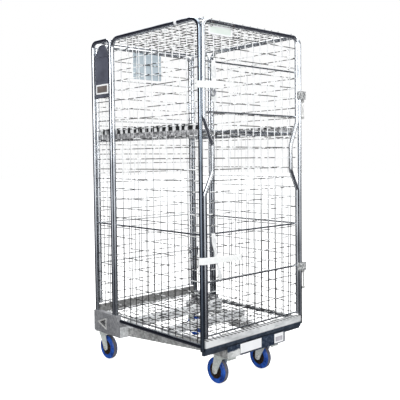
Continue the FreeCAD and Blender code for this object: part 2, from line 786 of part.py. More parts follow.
ledge_thick = v("ledgeThick")
for name, side in SIDES:
    ledge_low, ledge_top = v(name + "LedgeFootZ"), v(name + "LedgeTopZ")
    front = (side * v("frontPostX"), -v("frontPostY"))
    middle = (side * v("middlePostX"), v("middlePostY"))
    place = shifted(upright(front, middle), inward(side, TUBE + WIRE, ledge_thick))
    strip = doc.addObject("Part::Box", "Ledge")
    strip.setExpression("Length", "Sheet.ledgeLength")
    strip.setExpression("Width", "Sheet.ledgeThick")
    strip.setExpression("Height", own_size(ledge_top - ledge_low))
    strip.Placement = place.multiply(FreeCAD.Placement(V(20.0, 0, ledge_low), FreeCAD.Rotation()))
    pieces = [strip]
    bores = []
    for row in (2, 10):
        y = (shelf_ys[row] + shelf_ys[row + 1]) / 2
        wall = post_x(y) - TUBE - WIRE - 1.5
        if side < 0:
            outer_eye, bore = ring(-shelf_x, y, shelf_z, V(0, 1, 0), v("eyeWidth"))
            arm_end = -shelf_x - EDGE - 1.0
            arm = box((-wall, y - half_eye, shelf_z - 3.0), (arm_end, y + half_eye, shelf_z + 3.0))
            pieces += [outer_eye, arm]
            bores.append(bore)
        else:
            rest_top = shelf_z - EDGE - 0.6
            pieces.append(box((shelf_x - 8.0, y - 20.0, rest_top - 4.0), (wall, y + 20.0, rest_top)))
    if bores:
        whole = doc.addObject("Part::MultiFuse", "Ledge")
        whole.Shapes = pieces
        tools = doc.addObject("Part::Compound", "Bores")
        tools.Links = bores
        keep(cut(whole, tools), "shelf_ledge_" + name)
    else:
        joined("shelf_ledge_" + name, pieces)

deck_x, deck_z = v("deckHalfX"), v("deckZ")
deck_mid = (v("deckRear") - v("deckFront")) / 2
deck_ys = [deck_mid + y for y in spread((v("deckRear") + v("deckFront")) / 2, v("pitch"))]
deck_xs = spread(deck_x, v("pitch"))
tray("deck", (-deck_x, deck_x), (-v("deckFront"), v("deckRear")), deck_z, deck_xs, deck_ys)
centres, arms = [], []
for column in (2, 9):
    x = (deck_xs[column] + deck_xs[column + 1]) / 2
    centres.append((x, -v("deckFront"), deck_z))
    arm_end = -v("deckFront") - EDGE - 1.0
    arms.append(box((x - half_eye, bar_rear, deck_z - 3.0), (x + half_eye, arm_end, deck_z + 3.0)))
eyes("deck_eyes", centres, V(1, 0, 0), arms)

# ---------------------------------------------------------------- check and export
doc.recompute()
problems = []
for item in doc.Objects:
    if "Invalid" in item.State or "Error" in item.State:
        problems.append("%s %s" % (item.Name, item.State))
for node in nodes:
    if node.Shape.isNull() or not node.Shape.isValid():
        problems.append("%s has no sound shape" % node.Label)
if problems:
    raise RuntimeError("; ".join(problems))
for node in nodes:
    node.Shape.exportStep("parts/%s.step" % node.Label)
print("%d sub-parts written" % len(nodes))
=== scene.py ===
import json
import math
import random

import bmesh
import bpy
from mathutils import Matrix, Vector, noise


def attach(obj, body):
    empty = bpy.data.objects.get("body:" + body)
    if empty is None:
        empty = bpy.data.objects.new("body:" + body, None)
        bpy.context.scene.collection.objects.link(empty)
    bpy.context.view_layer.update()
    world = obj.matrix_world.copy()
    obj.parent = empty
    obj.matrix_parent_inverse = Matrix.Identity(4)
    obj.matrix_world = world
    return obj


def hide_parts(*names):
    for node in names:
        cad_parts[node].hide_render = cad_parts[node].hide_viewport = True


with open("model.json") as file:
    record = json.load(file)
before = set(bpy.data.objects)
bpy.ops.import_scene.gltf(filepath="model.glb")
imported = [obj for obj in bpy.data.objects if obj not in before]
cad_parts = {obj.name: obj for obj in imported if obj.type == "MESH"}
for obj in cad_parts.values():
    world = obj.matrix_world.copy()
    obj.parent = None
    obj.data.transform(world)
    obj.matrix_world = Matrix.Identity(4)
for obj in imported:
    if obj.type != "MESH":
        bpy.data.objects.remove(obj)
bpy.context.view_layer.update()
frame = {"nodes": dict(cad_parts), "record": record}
NODES = frame["nodes"]
scene = bpy.context.scene
random.seed(7)

# ------------------------------------------------------------------ camera
YAW, PITCH, ROLL = (math.radians(a) for a in (42.61, 2.35, -0.60))
FOCAL_IN_WIDTHS = 623.6 / 400.0
eye = Vector((-2.1765, -2.4226, 1.0711))
forward = Vector((math.sin(YAW) * math.cos(PITCH), math.cos(YAW) * math.cos(PITCH), -math.sin(PITCH)))
right = Vector((math.cos(YAW), -math.sin(YAW), 0.0))
up = right.cross(forward)
cam_x = right * math.cos(ROLL) + up * math.sin(ROLL)
cam_y = up * math.cos(ROLL) - right * math.sin(ROLL)
lens = bpy.data.cameras.new("camera")
lens.sensor_width = 36.0
lens.lens = lens.sensor_width * FOCAL_IN_WIDTHS
lens.shift_x = -0.0083
lens.shift_y = -0.0418
camera = bpy.data.objects.new("camera", lens)
turn = Matrix((cam_x, cam_y, -forward)).transposed().to_4x4()
camera.matrix_world = Matrix.Translation(eye) @ turn
scene.collection.objects.link(camera)
scene.camera = camera


# ------------------------------------------------------------------ material kit
class Graph:
    """A small helper for writing node materials."""

    def __init__(self, name):
        self.mat = bpy.data.materials.new(name)
        self.mat.use_nodes = True
        self.tree = self.mat.node_tree
        self.bsdf = self.tree.nodes["Principled BSDF"]
        self.where = self.new("ShaderNodeTexCoord").outputs["Object"]

    def new(self, kind, **inputs):
        node = self.tree.nodes.new(kind)
        for key, value in inputs.items():
            socket = node.inputs[key.replace("_", " ")]
            if isinstance(value, bpy.types.NodeSocket):
                self.tree.links.new(value, socket)
            else:
                socket.default_value = value
        return node

    def stretched(self, stretch):
        if not stretch:
            return self.where
        return self.new("ShaderNodeMapping", Vector=self.where, Scale=stretch).outputs[0]

    def noise(self, scale, detail=4.0, rough=0.55, stretch=None):
        at = self.stretched(stretch)
        node = self.new("ShaderNodeTexNoise", Vector=at, Scale=scale, Detail=detail, Roughness=rough)
        return node.outputs["Fac"]

    def cells(self, scale, output="Color"):
        return self.new("ShaderNodeTexVoronoi", Vector=self.where, Scale=scale).outputs[output]

    def part(self, axis):
        return self.new("ShaderNodeSeparateXYZ", Vector=self.where).outputs[axis]

    def repeats(self, axis, per_metre, scale, wander):
        """A count from 0 to 1 that starts again along an axis, unevenly by the given wander."""
        drift = self.span(self.noise(scale), -wander, wander)
        return self.math("FRACT", self.math("ADD", self.math("MULTIPLY", self.part(axis), per_metre), drift))

    def ramp(self, fac, stops):
        node = self.new("ShaderNodeValToRGB", Fac=fac)
        ramp = node.color_ramp
        while len(ramp.elements) < len(stops):
            ramp.elements.new(0.5)
        for element, (at, value) in zip(ramp.elements, stops):
            element.position = at
            element.color = (*value, 1.0)
        return node.outputs["Color"]

    def mask(self, fac, start, end):
        return self.ramp(fac, [(start, (0, 0, 0)), (end, (1, 1, 1))])

    def span(self, fac, low, high, start=0.0, end=1.0):
        node = self.new("ShaderNodeMapRange", Value=fac)
        for key, value in zip(("From Min", "From Max", "To Min", "To Max"), (start, end, low, high)):
            node.inputs[key].default_value = value
        return node.outputs["Result"]

    def mix(self, fac, a, b):
        node = self.tree.nodes.new("ShaderNodeMix")
        node.data_type = "RGBA"
        for key, value in (("Factor", fac), ("A", a), ("B", b)):
            socket = [s for s in node.inputs if s.name == key and s.enabled][0]
            if isinstance(value, bpy.types.NodeSocket):
                self.tree.links.new(value, socket)
            else:
                socket.default_value = value if key == "Factor" else (*value, 1.0)
        return [s for s in node.outputs if s.enabled][0]

    def math(self, kind, a, b=0.0):
        node = self.tree.nodes.new("ShaderNodeMath")
        node.operation = kind
        for socket, value in zip(node.inputs, (a, b)):
            if isinstance(value, bpy.types.NodeSocket):
                self.tree.links.new(value, socket)
            else:
                socket.default_value = value
        return node.outputs[0]

    def bump(self, height, strength, distance):
        node = self.new("ShaderNodeBump", Height=height, Strength=strength, Distance=distance)
        self.tree.links.new(node.outputs[0], self.bsdf.inputs["Normal"])

    def set(self, **inputs):
        for key, value in inputs.items():
            socket = self.bsdf.inputs[key.replace("_", " ")]
            if isinstance(value, bpy.types.NodeSocket):
                self.tree.links.new(value, socket)
            else:
                socket.default_value = value
        return self.mat


def scaled(colour, factor):
    return tuple(c * factor for c in colour)


def zinc(
    name, dark, light, rough, cloud=14.0, streak=None,
    matt_beyond=None, shaded_before=None, pale_within=None, low=0.0,
):
    """Bright electroplated zinc: cloudy tone, fine drawing lines, small dull patches.
    The pressed hinge arms, beyond matt_beyond on X or proud of the tubes, are duller.
    The post that stands before shaded_before on Y is painted darker and bluer: painted shade and reflection.
    Cross rods within pale_within of the middle are whitened.
    Below the shelf the colour grows darker by the given low: painted shade."""
    g = Graph(name)
    tone = g.noise(cloud, 6.0, 0.6)
    fine = g.noise(160.0, 3.0, 0.6, streak)
    dull = g.mask(g.noise(38.0, 5.0, 0.7), 0.56, 0.72)
    colour = g.mix(dull, g.ramp(tone, [(0.30, dark), (0.70, light)]), scaled(light, 0.72))
    # Painted shade: the colour darkens towards the floor, by the full low at z = 0.40 and not at all above z
    # = 1.10.
    if low:
        colour = g.mix(g.span(g.part(2), low, 0.0, 0.40, 1.10), colour, (0.07, 0.08, 0.095))
    # Painted shade and reflection: the front post turns darker and bluer.
    if shaded_before:
        shade = g.span(g.part(1), 1.0, 0.0, shaded_before, shaded_before + 0.03)
        colour = g.mix(g.math("MULTIPLY", shade, 0.75), colour, (0.12, 0.16, 0.21))
    g.set(Metallic=1.0, Base_Color=colour)
    wear_and_painted_light = g.math("ADD", g.span(tone, rough - 0.05, rough + 0.08, 0.3, 0.7), g.math("MULTIPLY", dull, 0.14))
    wear_and_painted_light = g.math("ADD", wear_and_painted_light, g.span(fine, -0.03, 0.05))
    if pale_within:
        inside = g.span(g.math("ABSOLUTE", g.part(0)), 1.0, 0.0, pale_within, pale_within + 0.004)
        inside = g.math("MULTIPLY", inside, g.span(g.part(2), 1.0, 0.0, 1.640, 1.650))
        colour = g.mix(inside, colour, (0.80, 0.81, 0.81))
        g.set(Base_Color=colour, Metallic=g.math("SUBTRACT", 1.0, g.math("MULTIPLY", inside, 0.8)))
    if matt_beyond:
        speckle = g.mask(g.noise(120.0, 4.0, 0.7), 0.44, 0.58)
        proud = g.span(g.math("ABSOLUTE", g.part(1)), 0.0, 1.0, 0.4222, 0.4224)
        matt = g.math("MAXIMUM", proud, g.span(g.part(0), 0.0, 1.0, matt_beyond, matt_beyond + 0.002))
        worn_arm = g.mix(speckle, (0.16, 0.165, 0.17), (0.74, 0.75, 0.74))
        g.set(Base_Color=g.mix(matt, colour, worn_arm))
        wear_and_painted_light = g.math("ADD", wear_and_painted_light, g.math("MULTIPLY", matt, 0.25))
        g.set(Metallic=g.math("SUBTRACT", 1.0, g.math("MULTIPLY", matt, 0.8)))
    g.set(Roughness=wear_and_painted_light)
    g.bump(fine, 0.05, 0.0003)
    return g.mat


def wire_zinc(name, dark, light, start, end, metal=0.85, shade=0.0):
    """Thin welded wire whose colour flashes bright and dull along its length, a painted reflection,
    and is darker below the shelf by the given shade, a painted shade."""
    g = Graph(name)
    # Painted reflection: bright and dark dashes along each wire.
    painted_reflection = g.noise(26.0, 3.0, 0.6)
    colour = g.ramp(painted_reflection, [(start, scaled((1.0, 1.0, 1.02), dark)), (end, scaled((0.99, 1.0, 1.0), light))])
    # Painted shade: the wire darkens from z = 1.00 down to z = 0.50.
    if shade:
        colour = g.mix(g.span(g.part(2), shade, 0.0, 0.50, 1.00), colour, (0.012, 0.012, 0.013))
    g.set(Metallic=metal, Base_Color=colour)
    g.set(Roughness=g.span(g.noise(120.0, 3.0), 0.20, 0.40))
    g.bump(g.noise(400.0, 2.0), 0.15, 0.0003)
    return g.mat


def galvanised(name, dark, light, rough, rust=0.0, metal=0.35, painted_light_band=None):
    """Matt hot-dip zinc: spangle cells, scuffs and a few rust specks.
    The last argument, (axis, from, to), paints light: the colour turns lighter between those two places."""
    g = Graph(name)
    spangle = g.new("ShaderNodeSeparateColor", Color=g.cells(95.0)).outputs[0]
    tone = g.math("ADD", g.math("MULTIPLY", spangle, 0.35), g.math("MULTIPLY", g.noise(9.0, 6.0, 0.6), 0.65))
    scuff = g.mask(g.noise(24.0, 8.0, 0.75, (1.0, 1.0, 5.0)), 0.60, 0.70)
    clean = g.ramp(tone, [(0.28, dark), (0.66, light)])
    colour = g.mix(g.math("MULTIPLY", scuff, 0.5), clean, scaled(dark, 0.55))
    specks = g.mask(g.noise(31.0, 3.0, 0.5), 0.70, 0.74)
    colour = g.mix(g.math("MULTIPLY", specks, rust), colour, (0.28, 0.12, 0.04))
    # Painted light: a lighter colour past the given place.
    if painted_light_band:
        axis, start, end = painted_light_band
        wear_and_painted_light = g.ramp(tone, [(0.3, (0.62, 0.63, 0.63)), (0.6, (0.88, 0.89, 0.89))])
        colour = g.mix(g.span(g.part(axis), 0.0, 1.0, start, end), colour, wear_and_painted_light)
    g.set(Metallic=metal, Base_Color=colour)
    g.set(Roughness=g.span(tone, rough + 0.1, rough - 0.08, 0.25, 0.7))
    g.bump(g.noise(220.0, 3.0), 0.18, 0.0006)
    return g.mat


def slotted_ledge(name, split):
    """A grey pressed strip whose part above split has slots along Y, painted near-black as shade."""
    g = Graph(name)
    grey = g.ramp(
        g.noise(70.0, 7.0, 0.8),
        [(0.40, (0.10, 0.10, 0.105)), (0.52, (0.40, 0.40, 0.41)), (0.62, (0.88, 0.88, 0.89))],
    )
    slot = g.repeats(1, 22.0, 26.0, 0.40)
    # Painted shade: the slots are drawn as near-black colour.
    hole = g.ramp(slot, [(0.42, (0.90, 0.91, 0.91)), (0.48, (0.02, 0.021, 0.023))])
    g.set(Base_Color=g.mix(g.span(g.part(2), 0.0, 1.0, split, split + 0.002), grey, hole), Metallic=0.3)
    g.set(Roughness=g.span(g.noise(40.0, 4.0), 0.40, 0.60))
    g.bump(g.noise(220.0, 3.0), 0.15, 0.0005)
    return g.mat


def pressed_bar(name, split, top):
    """The bright front bar, whose turned-under lower edge is painted dark and mottled: painted shade and
    reflection where it faces down.
    Its top, under the front edge of the wire deck, has dark slots along X: painted shade under the deck's
    wire ends."""
    g = Graph(name)
    tone = g.noise(12.0, 7.0, 0.65, (0.35, 1.0, 1.0))
    bright = g.ramp(tone, [(0.30, (0.34, 0.35, 0.36)), (0.56, (0.84, 0.85, 0.85))])
    scratch = g.mask(g.noise(60.0, 5.0, 0.7, (0.15, 1.0, 1.0)), 0.60, 0.68)
    bright = g.mix(g.math("MULTIPLY", scratch, 0.55), bright, (0.30, 0.32, 0.34))
    # Painted shade and reflection: the turned-under lower edge is coloured dark blue where it faces down.
    under = g.ramp(g.noise(40.0, 6.0, 0.7), [(0.35, (0.012, 0.020, 0.034)), (0.75, (0.075, 0.095, 0.13))])
    low = g.span(g.part(2), 1.0, 0.0, split - 0.0012, split + 0.0012)
    # Painted shade: dark teeth along the top, under the deck's front wire ends.
    slot = g.repeats(0, 40.0, 12.0, 0.10)
    slots = g.ramp(slot, [(0.52, (0.02, 0.02, 0.022)), (0.60, (0.70, 0.71, 0.71))])
    face = g.mix(g.span(g.part(2), 0.0, 1.0, top, top + 0.0006), g.mix(low, bright, under), slots)
    g.set(Base_Color=face, Metallic=0.15)
    g.set(Roughness=g.span(tone, 0.50, 0.34, 0.3, 0.7))
    g.bump(g.noise(180.0, 3.0), 0.15, 0.0005)
    return g.mat


def nose_steel(name, split_x, split_z):
    """The nose cross plate: a dark bluish mottle, with a bright upper edge on its left part."""
    g = Graph(name)
    mottle = g.ramp(
        g.noise(70.0, 6.0, 0.7),
        [(0.42, (0.008, 0.018, 0.040)), (0.60, (0.060, 0.085, 0.13)), (0.72, (0.42, 0.46, 0.50))],
    )
    smear = g.noise(26.0, 6.0, 0.7, (0.5, 1.0, 1.0))
    wear_and_painted_light = g.ramp(smear, [(0.34, (0.48, 0.49, 0.48)), (0.58, (0.90, 0.91, 0.90))])
    left = g.span(g.part(0), 1.0, 0.0, split_x - 0.002, split_x + 0.002)
    edge = g.math("ADD", g.part(2), g.span(g.noise(30.0, 4.0), -0.010, 0.010))
    lip = g.span(edge, 1.0, 0.0, split_z - 0.003, split_z + 0.003)
    g.set(Base_Color=g.mix(g.math("MULTIPLY", left, lip), mottle, wear_and_painted_light), Metallic=0.2)
    g.set(Roughness=g.span(g.noise(60.0, 4.0), 0.32, 0.52))
    g.bump(g.noise(180.0, 3.0), 0.15, 0.0005)
    return g.mat


def rubber(name, colour, dust_and_shade, amount, rough):
    g = Graph(name)
    # Random patches of the second colour: dust on the tread and hub, painted shade on the blue sidewall and
    # the strap knot.
    grime_and_shade = g.mask(g.noise(34.0, 7.0, 0.7), 0.42, 0.68)
    g.set(Base_Color=g.mix(g.math("MULTIPLY", grime_and_shade, amount), colour, dust_and_shade))
    g.set(Roughness=g.span(g.noise(90.0, 4.0), rough - 0.06, rough + 0.12), Specular_IOR_Level=0.4)
    g.bump(g.noise(500.0, 2.0), 0.1, 0.0004)
    return g.mat


def plastic(name, colour, shade, rough, grain=420.0):
    g = Graph(name)
    g.set(Base_Color=g.ramp(g.noise(16.0, 5.0, 0.6), [(0.3, shade), (0.65, colour)]))
    g.set(Roughness=g.span(g.noise(70.0, 4.0), rough - 0.07, rough + 0.08))
    g.bump(g.noise(grain, 2.0), 0.14, 0.0004)
    return g.mat


def webbing(name, clean, grubby_and_shaded, amount):
    """Polyester webbing with a ribbed weave and darker patches: soiling, and painted shade on the strap
    tails.
    """
    g = Graph(name)
    ribs = g.new("ShaderNodeTexWave", Vector=g.where, Scale=170.0, Distortion=0.4).outputs["Fac"]
    rows = g.new("ShaderNodeTexWave", Vector=g.where, Scale=240.0, Distortion=0.3)
    rows.bands_direction = "Z"
    weave = g.math("MULTIPLY", ribs, rows.outputs["Fac"])
    # Darker patches: soiling on the straps, painted shade on the tails.
    dirt_and_shade = g.mask(g.noise(30.0, 6.0, 0.7), 0.50, 0.85)
    colour = g.mix(g.math("MULTIPLY", dirt_and_shade, amount), clean, grubby_and_shaded)
    g.set(Base_Color=g.mix(g.math("MULTIPLY", weave, 0.2), colour, scaled(clean, 0.72)), Roughness=0.85)
    g.bump(weave, 0.5, 0.0006)
    return g.mat


DRAWN_ALONG_Z = (1.0, 1.0, 0.08)
SIDE_TUBE = ((0.42, 0.44, 0.47), (0.78, 0.81, 0.84), 0.13, 9.0, DRAWN_ALONG_Z)
GATE_TUBE = ((0.46, 0.48, 0.50), (0.84, 0.86, 0.88), 0.13, 9.0, DRAWN_ALONG_Z)
# The low values paint shade on the lower part of the tubes.
zinc_tube = zinc("zinc_tube", *SIDE_TUBE, low=0.62)
# The front of this post gets a painted darker, bluer reflection.
post_tube = zinc("post_tube", *SIDE_TUBE, shaded_before=-0.400, low=0.62)
gate_tube = zinc("gate_tube", *GATE_TUBE, matt_beyond=0.334, low=0.40)
rear_tube = zinc("rear_tube", *GATE_TUBE, pale_within=0.312)
# One wire stock, painted pale when upright and dashed dark and bright across and in the trays: painted
# reflections, with painted shade lower down.
upright_wire = wire_zinc("upright_wire", 0.72, 1.0, 0.30, 0.50, 0.10, 1.0)
cross_wire = wire_zinc("cross_wire", 0.010, 1.0, 0.50, 0.54, 0.10, 0.30)
tray_wire = wire_zinc("tray_wire", 0.03, 1.0, 0.50, 0.55, 0.40)
zinc_plate = nose_steel("nose_steel", -0.119, 0.182)
zinc_small = galvanised("zinc_fittings", (0.58, 0.58, 0.56), (0.84, 0.84, 0.81), 0.30, 0.0, 0.5)
zinc_fork = galvanised("zinc_fork", (0.62, 0.66, 0.62), (0.84, 0.88, 0.84), 0.36, 0.0, 0.25)
galvan = galvanised(
    "galvanised", (0.20, 0.203, 0.213), (0.36, 0.362, 0.375), 0.50, painted_light_band=(1, 0.1884, 0.1876)
)
# The rails and nose beam are painted lighter on their top faces: painted light.
galvan_rail = galvanised(
    "galvanised_rail", (0.24, 0.24, 0.235), (0.58, 0.58, 0.57), 0.50, 0.9, painted_light_band=(2, 0.2040, 0.2048)
)
deck_steel = galvanised("deck_steel", (0.70, 0.71, 0.72), (0.92, 0.93, 0.94), 0.50, 0.0, 0.1)
kick_steel = galvanised("kick_steel", (0.15, 0.15, 0.148), (0.33, 0.33, 0.325), 0.55, 0.0, 0.2)
deck_rod = galvanised(
    "deck_rod", (0.16, 0.16, 0.165), (0.50, 0.51, 0.52), 0.40, 0.0, 0.4, painted_light_band=(1, 0.33, 0.36)
)
left_ledge = slotted_ledge("left_ledge", 1.196)
right_ledge = slotted_ledge("right_ledge", 1.219)
shaded_steel = galvanised("shaded_ledge", (0.07, 0.07, 0.075), (0.30, 0.30, 0.31), 0.50)
bar_steel = pressed_bar("pressed_bar", 0.2275, 0.2570)
# The blue sidewall's dark navy patches are painted shade.
blue_side = rubber("blue_sidewall", (0.018, 0.100, 0.48), (0.003, 0.010, 0.09), 0.95, 0.22)
grey_tread = rubber("grey_tread", (0.10, 0.10, 0.13), (0.24, 0.23, 0.25), 0.7, 0.60)
hub_black = rubber("hub_nylon", (0.014, 0.012, 0.012), (0.12, 0.065, 0.03), 0.55, 0.45)
slate = plastic("slate_plastic", (0.105, 0.112, 0.145), (0.060, 0.064, 0.085), 0.40)
white_label = plastic("white_label", (0.90, 0.91, 0.92), (0.84, 0.85, 0.86), 0.40)
label_grey = plastic("label_print_tint", (0.42, 0.40, 0.44), (0.62, 0.60, 0.64), 0.45)
sign_tint = plastic("sign_tint", (0.66, 0.74, 0.68), (0.78, 0.84, 0.79), 0.40)
window_card = plastic("window_card", (0.20, 0.17, 0.155), (0.10, 0.085, 0.08), 0.30)
pale_board = plastic("pale_board", (0.52, 0.60, 0.65), (0.44, 0.51, 0.56), 0.45)
web_white = webbing("webbing", (0.90, 0.91, 0.90), (0.62, 0.63, 0.62), 0.4)
# The tails' dark grey folds are painted shade.
web_shade = webbing("webbing_tail", (0.84, 0.85, 0.85), (0.26, 0.27, 0.28), 0.9)
# The knot is white webbing coloured grey: painted shade.
web_painted_shade = rubber("webbing_knot_painted_shade", (0.30, 0.31, 0.33), (0.16, 0.17, 0.19), 0.7, 0.8)

# ------------------------------------------------------------------ CAD nodes keep their shape
BY_SLOT = {
    "zinc_tube": zinc_tube,
    "zinc_wire": cross_wire,
    "galvanised_steel": galvan,
    "zinc_sheet": zinc_plate,
    "zinc_fittings": zinc_small,
    "zinc_fork": zinc_fork,
    "blue_tyre": blue_side,
    "dark_hub": hub_black,
    "white_webbing": web_white,
    "slate_plastic": slate,
    "white_plastic": white_label,
    "pale_board": pale_board,
}
SPECIAL = {
    "deck_frame": deck_rod,
    "side_frame_left": post_tube,
    "front_gate_frame": gate_tube,
    "rear_gate_frame": rear_tube,
    "front_bar": bar_steel,
    "chassis_rails": galvan_rail,
    "cross_members": deck_steel,
    "nose_beam": galvan_rail,
    "kick_rail": kick_steel,
    "shelf_ledge_left": left_ledge,
    "shelf_ledge_right": right_ledge,
}
SLOT_OF = {part["node"]: part["material_slot"] for part in frame["record"]["subparts"]}
for name, obj in NODES.items():
    obj.data.materials.clear()
    obj.data.materials.append(SPECIAL.get(name, BY_SLOT[SLOT_OF[name]]))


# ------------------------------------------------------------------ mesh kit
class Shape:
    """Vertices and faces of one piece, each face with the index of its material."""

    def __init__(self):
        self.verts, self.faces, self.paint = [], [], []

    def face(self, corners, paint=0):
        self.faces.append(tuple(corners))
        self.paint.append(paint)

    def loops(self, rings, paint=0, closed=False, caps=True):
        """Joins rings of equal length into a skin."""
        first, n = len(self.verts), len(rings[0])
        for ring in rings:
            self.verts.extend(ring)
        count = len(rings)
        for i in range(count if closed else count - 1):
            a, b = first + i * n, first + (i + 1) % count * n
            shade = paint[i] if isinstance(paint, list) else paint
            for k in range(n):
                m = (k + 1) % n
                self.face((a + k, a + m, b + m, b + k), shade)
        if caps and not closed:
            shade = paint[0] if isinstance(paint, list) else paint
            self.face([first + k for k in reversed(range(n))], shade)
            self.face([first + (count - 1) * n + k for k in range(n)], shade)

    def sweep(self, path, radius, sides=8, paint=0):
        """A round bar along a path; the radius may be a list, one value a point."""
        rings, side = [], None
        last = len(path) - 1
        for i, p in enumerate(path):
            ahead = (path[min(i + 1, last)] - path[max(i - 1, 0)]).normalized()
            side = side or ahead.orthogonal().normalized()
            side = (side - ahead * side.dot(ahead)).normalized()
            other = ahead.cross(side)
            r = radius[i] if isinstance(radius, list) else radius
            angles = [2 * math.pi * k / sides for k in range(sides)]
            rings.append([p + side * (r * math.cos(a)) + other * (r * math.sin(a)) for a in angles])
        self.loops(rings, paint)

    def lathe(self, profile, centre, axis, sides=48, paint=0):
        """Turns (distance along the axis, radius) points about an axis, as a closed ring."""
        axis = Vector(axis)
        u = axis.orthogonal().normalized()
        w = axis.cross(u)
        rings = []
        for a, r in profile:
            angles = [2 * math.pi * k / sides for k in range(sides)]
            rings.append([centre + axis * a + u * (r * math.cos(t)) + w * (r * math.sin(t)) for t in angles])
        self.loops(rings, paint, closed=True)

    def prism(self, outline, low, high, across, paint=0, edge=0.0):
        """A flat outline given thickness; edge softens both rims."""
        middle = sum(outline, Vector()) / len(outline)
        inner = [p + (middle - p).normalized() * edge for p in outline]
        stack = [(inner, low), (outline, low + edge), (outline, high - edge), (inner, high)]
        if not edge:
            stack = stack[1:3]
        self.loops([[p + across * d for p in ring] for ring, d in stack], paint)

    def nub(self, p, r):
        """A small weld bead."""
        self.lathe([(-r, 0.0001), (-0.6 * r, 0.8 * r), (0.6 * r, 0.8 * r), (r, 0.0001)], p, (0, 0, 1), 6)

    def piece(self, name, materials, body, replaced=(), angle=35.0):
        mesh = bpy.data.meshes.new(name)
        mesh.from_pydata(self.verts, [], self.faces)
        for m in materials if isinstance(materials, list) else [materials]:
            mesh.materials.append(m)
        mesh.polygons.foreach_set("material_index", self.paint)
        mesh.validate()
        skin = bmesh.new()
        skin.from_mesh(mesh)
        bmesh.ops.recalc_face_normals(skin, faces=skin.faces)
        skin.to_mesh(mesh)
        skin.free()
        mesh.shade_smooth()
        mesh.set_sharp_from_angle(angle=math.radians(angle))
        obj = bpy.data.objects.new(name, mesh)
        scene.collection.objects.link(obj)
        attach(obj, body)
        if replaced:
            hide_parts(*replaced)
        return obj


def rounded(x0, x1, y0, y1, radius, steps=4):
    """Corner points of a rounded rectangle, counter-clockwise."""
    points = []
    for cx, cy, start in (
        (x1 - radius, y0 + radius, -90), (x1 - radius, y1 - radius, 0),
        (x0 + radius, y1 - radius, 90), (x0 + radius, y0 + radius, 180),
    ):
        for i in range(steps + 1):
            a = math.radians(start + 90 * i / steps)
            points.append((cx + radius * math.cos(a), cy + radius * math.sin(a)))
    return points


def hexagon(shape, centre, axis, size, low, high, paint=0):
    """A bolt head or nut with a chamfered top, between two distances along its axis."""
    axis = Vector(axis)
    u = axis.orthogonal().normalized()
    w = axis.cross(u)
    rings = []
    for distance, r in ((low, size), (high - 0.0008, size), (high, size * 0.86)):
        corners = [math.radians(60 * k + 15) for k in range(6)]
        middle = centre + axis * distance
        rings.append([middle + u * (r * math.cos(a)) + w * (r * math.sin(a)) for a in corners])
    shape.loops(rings, paint)


# ------------------------------------------------------------------ wire panels
WIRE_R = 0.0020
FRONT_X, MIDDLE_X, REAR_X, POST_Y, MIDDLE_Y = 0.342, 0.348, 0.351, 0.412, 0.240
TOP, SILL, FOOT, TUBE_R = 1.680, 0.236, 0.261, 0.010
NEAR, FAR = TUBE_R + WIRE_R, TUBE_R + 2.8 * WIRE_R
GAP_LOW, GAP_HIGH = 0.94, 1.20


def steps(first, last, pitch):
    count = int((last - first) / pitch + 1e-6)
    return [first + pitch * i for i in range(count + 1)]


def wire_panel(node, body, place, us, vs, u_span, v_span, near, far, gaps=False, finish=None):
    """Two crossing layers of slightly wavy round wire in place of a flat CAD lattice.
    place(u, v, depth) gives a point; near and far are the depths of the two layers.
    With gaps, the wires stop short of the hand grips on both sides."""
    shape = Shape()
    phase = random.random() * 50.0

    def run(a0, a1, at, point, paint):
        count = max(3, int(abs(a1 - a0) / 0.06))
        path = []
        for i in range(count + 1):
            a = a0 + (a1 - a0) * i / count
            wave = noise.noise(Vector((a * 2.3 + phase, at * 15.0, phase))) * 0.0014
            path.append(point(a, at + wave))
        shape.sweep(path, WIRE_R, 8, paint)
        for end in (path[0], path[-1]):
            shape.nub(end, WIRE_R * 1.5)

    for u in us:
        spans = [v_span]
        if gaps and u < -0.28:
            spans = [(v_span[0], GAP_LOW), (GAP_HIGH, v_span[1])]
        for v0, v1 in spans:
            run(v0, v1, u, lambda a, w: place(w, a, far), 0)
    for v in vs:
        u0, u1 = u_span
        if gaps and GAP_LOW < v < GAP_HIGH:
            u0, u1 = u0 + 0.05, u1 - 0.05
        run(u0, u1, v, lambda a, w: place(a, w, near), 1)
    return shape.piece(node + "_wires", finish or [upright_wire, cross_wire], body, [node])


def upright(start, end, inner):
    """A panel standing between two plan points; depth grows towards the inside."""
    a, b = Vector((*start, 0.0)), Vector((*end, 0.0))
    along = (b - a).normalized()
    across = Vector((-along.y, along.x, 0.0)) * inner
    return lambda u, v, d: a + along * u + across * d + Vector((0.0, 0.0, v))


WINGS = {}
for name, side in (("left", -1), ("right", 1)):
    a, b, c = (side * FRONT_X, -POST_Y), (side * MIDDLE_X, MIDDLE_Y), (side * REAR_X, POST_Y)
    length, span = math.dist(a, b), math.dist(b, c)
    wire_panel(
        "side_mesh_" + name, "chassis", upright(a, b, side), steps(0.05, length - 0.04, 0.05),
        steps(SILL + 0.032, TOP - 0.06, 0.05), (0.008, length), (SILL, TOP - 0.010), NEAR, FAR,
    )
    WINGS[name] = upright(b, c, side)
    wire_panel(
        "wing_mesh_" + name, "chassis", WINGS[name], [0.07, 0.12],
        steps(FOOT + 0.057, TOP - 0.06, 0.05), (0.02, span - 0.008), (FOOT + 0.03, TOP), NEAR, FAR,
    )

